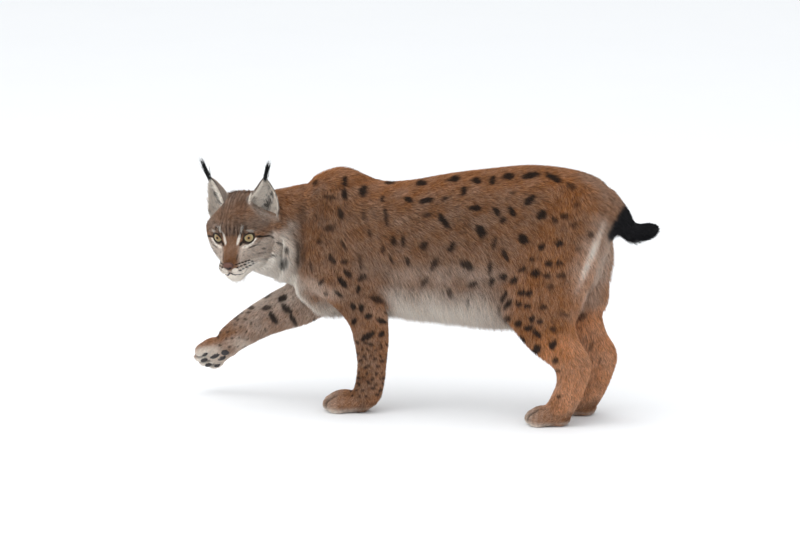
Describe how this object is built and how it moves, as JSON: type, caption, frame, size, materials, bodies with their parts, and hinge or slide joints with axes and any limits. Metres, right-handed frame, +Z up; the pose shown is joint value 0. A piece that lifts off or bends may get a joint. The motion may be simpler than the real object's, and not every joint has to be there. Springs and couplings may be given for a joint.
{
  "type": "eurasian lynx",
  "caption": "Life-size museum-like model of a spotted, tuft-eared wild cat, still, walking with one forepaw lifted and its head turned.",
  "frame": {"origin": "on the floor, under the middle of the animal's bounding box", "axes": "+X towards the tail, so that the lynx walks towards -X; +Y towards its right side; +Z up"},
  "size_m": [1.0853, 0.2867, 0.5837],
  "materials": {
    "coat": "fur",
    "dark_fur": "fur",
    "nose_leather": "damp skin",
    "eye": "gloss"
  },
  "bodies": {
    "root": {"torso": "coat", "neck": "coat", "head": "coat", "ear_left": "coat", "ear_right": "coat", "eye_left": "eye", "eye_right": "eye", "nose": "nose_leather", "upper_foreleg_left": "coat", "forearm_left": "coat", "forepaw_left": "coat", "upper_foreleg_right": "coat", "forearm_right": "coat", "forepaw_right": "coat", "thigh_left": "coat", "shank_left": "coat", "hind_foot_left": "coat", "thigh_right": "coat", "shank_right": "coat", "hind_foot_right": "coat", "tail": "dark_fur"}
  },
  "joints": []
}
